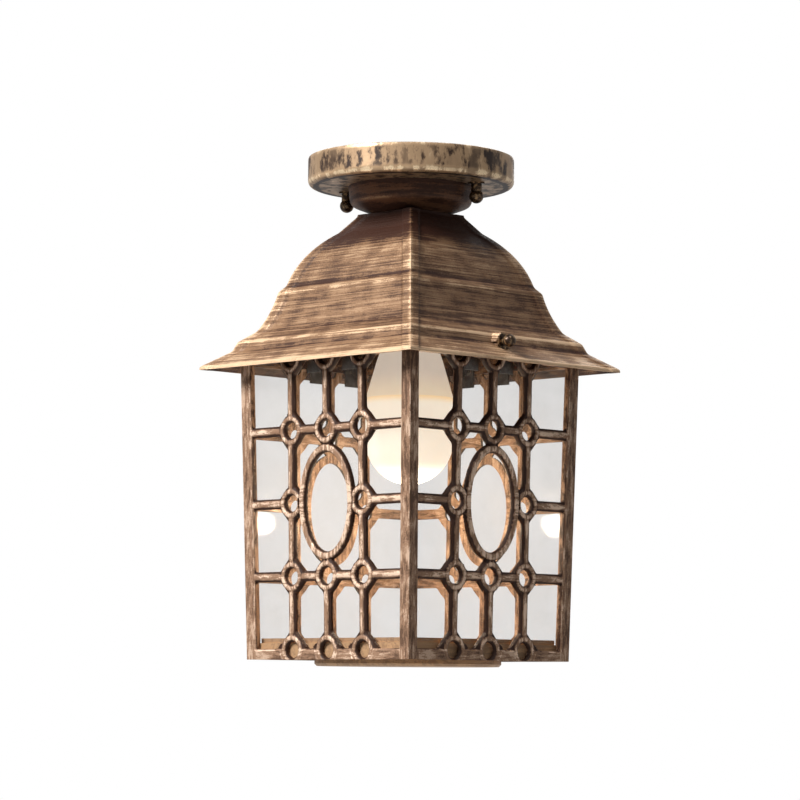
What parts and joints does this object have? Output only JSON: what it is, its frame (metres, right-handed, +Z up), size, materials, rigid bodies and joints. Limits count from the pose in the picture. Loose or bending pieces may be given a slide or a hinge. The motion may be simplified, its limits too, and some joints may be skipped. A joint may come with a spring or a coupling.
{
  "type": "ceiling lantern",
  "caption": "Porch ceiling lantern: round canopy, square bell roof and a tapering glazed cage of ring-and-bar frets round a screw-in bulb.",
  "frame": {"origin": "middle of the ceiling face, on the lantern's axis, where the strap lies against the ceiling", "axes": "+Z up towards the ceiling; +X out of the side of the cage with a thumb screw; -Y out of the front side"},
  "size_m": [0.1558, 0.1558, 0.2665],
  "materials": {
    "antique_roof": "cast, painted dark brown and dry-brushed with bronze-gold in level strokes",
    "antique_fret": "cast, painted dark brown, bronze-gold rubbed on the raised faces",
    "antique_canopy": "spun sheet, mottled gold over dark brown",
    "antique_knob": "dark antique brass, worn bright on the balls",
    "zinc": "zinc-plated steel",
    "brass_contact": "plain brass",
    "clear_glass": "clear pane, smooth",
    "porcelain": "white glaze",
    "cap_aluminium": "rolled screw cap",
    "black_insulator": "black glass insulator",
    "bulb_housing": "white moulded plastic",
    "bulb_glow": "opal plastic, lit warm white",
    "bulb_board": "white light board",
    "block_plastic": "moulded polyamide",
    "wire_brown": "insulation",
    "wire_blue": "insulation",
    "wire_green": "insulation, green with yellow"
  },
  "bodies": {
    "fixture": {"ceiling_bracket": "zinc", "bracket_studs": "zinc", "canopy": "antique_canopy", "neck_bowl": "antique_roof", "threaded_tube": "zinc", "tube_nuts": "zinc", "tube_washers": "zinc", "roof": "antique_roof", "holder_cap": "porcelain", "holder_body": "porcelain", "screw_shell": "brass_contact", "centre_contact": "brass_contact", "holder_screws": "brass_contact", "terminal_block": "block_plastic", "terminal_screws": "zinc", "earth_screw": "zinc", "live_wire": "wire_brown", "neutral_wire": "wire_blue", "earth_wire": "wire_green", "thumb_screw_washer_right": "antique_knob", "thumb_screw_washer_left": "antique_knob", "ball_nut_washer_right": "antique_knob", "ball_nut_washer_left": "antique_knob"},
    "cage": {"fret_front": "antique_fret", "fret_right": "antique_fret", "fret_back": "antique_fret", "fret_left": "antique_fret", "glass_front": "clear_glass", "glass_right": "clear_glass", "glass_back": "clear_glass", "glass_left": "clear_glass", "cage_collar": "antique_fret", "collar_screws": "zinc", "glass_clips": "zinc", "floor_plate": "antique_fret", "floor_screws": "zinc"},
    "bulb": {"bulb_contact": "zinc", "bulb_insulator": "black_insulator", "bulb_cap": "cap_aluminium", "bulb_housing": "bulb_housing", "bulb_light_board": "bulb_board", "bulb_diffuser": "bulb_glow"},
    "thumb_screw_right": {"thumb_screw_right": "antique_knob"},
    "thumb_screw_left": {"thumb_screw_left": "antique_knob"},
    "ball_nut_right": {"ball_nut_right": "antique_knob"},
    "ball_nut_left": {"ball_nut_left": "antique_knob"}
  },
  "joints": [
    {"name": "cage_drop", "type": "slide", "parent": "fixture", "child": "cage", "axis": [0, 0, -1], "range_m": [0, 0.08]},
    {"name": "bulb_turn", "type": "hinge", "parent": "fixture", "child": "bulb", "pos_m": [0, 0, -0.0979], "axis": [0, 0, -1], "range_deg": [0, 720]},
    {"name": "thumb_right_turn", "type": "hinge", "parent": "fixture", "child": "thumb_screw_right", "pos_m": [0.0674, 0, -0.1015], "axis": [1, 0, 0], "range_deg": [0, 1440]},
    {"name": "thumb_left_turn", "type": "hinge", "parent": "fixture", "child": "thumb_screw_left", "pos_m": [-0.0674, 0, -0.1015], "axis": [-1, 0, 0], "range_deg": [0, 1440]},
    {"name": "nut_right_turn", "type": "hinge", "parent": "fixture", "child": "ball_nut_right", "pos_m": [0.03682, 0.01126, -0.0162], "axis": [0, 0, -1], "range_deg": [0, 1800]},
    {"name": "nut_left_turn", "type": "hinge", "parent": "fixture", "child": "ball_nut_left", "pos_m": [-0.03682, -0.01126, -0.0162], "axis": [0, 0, -1], "range_deg": [0, 1800]}
  ]
}
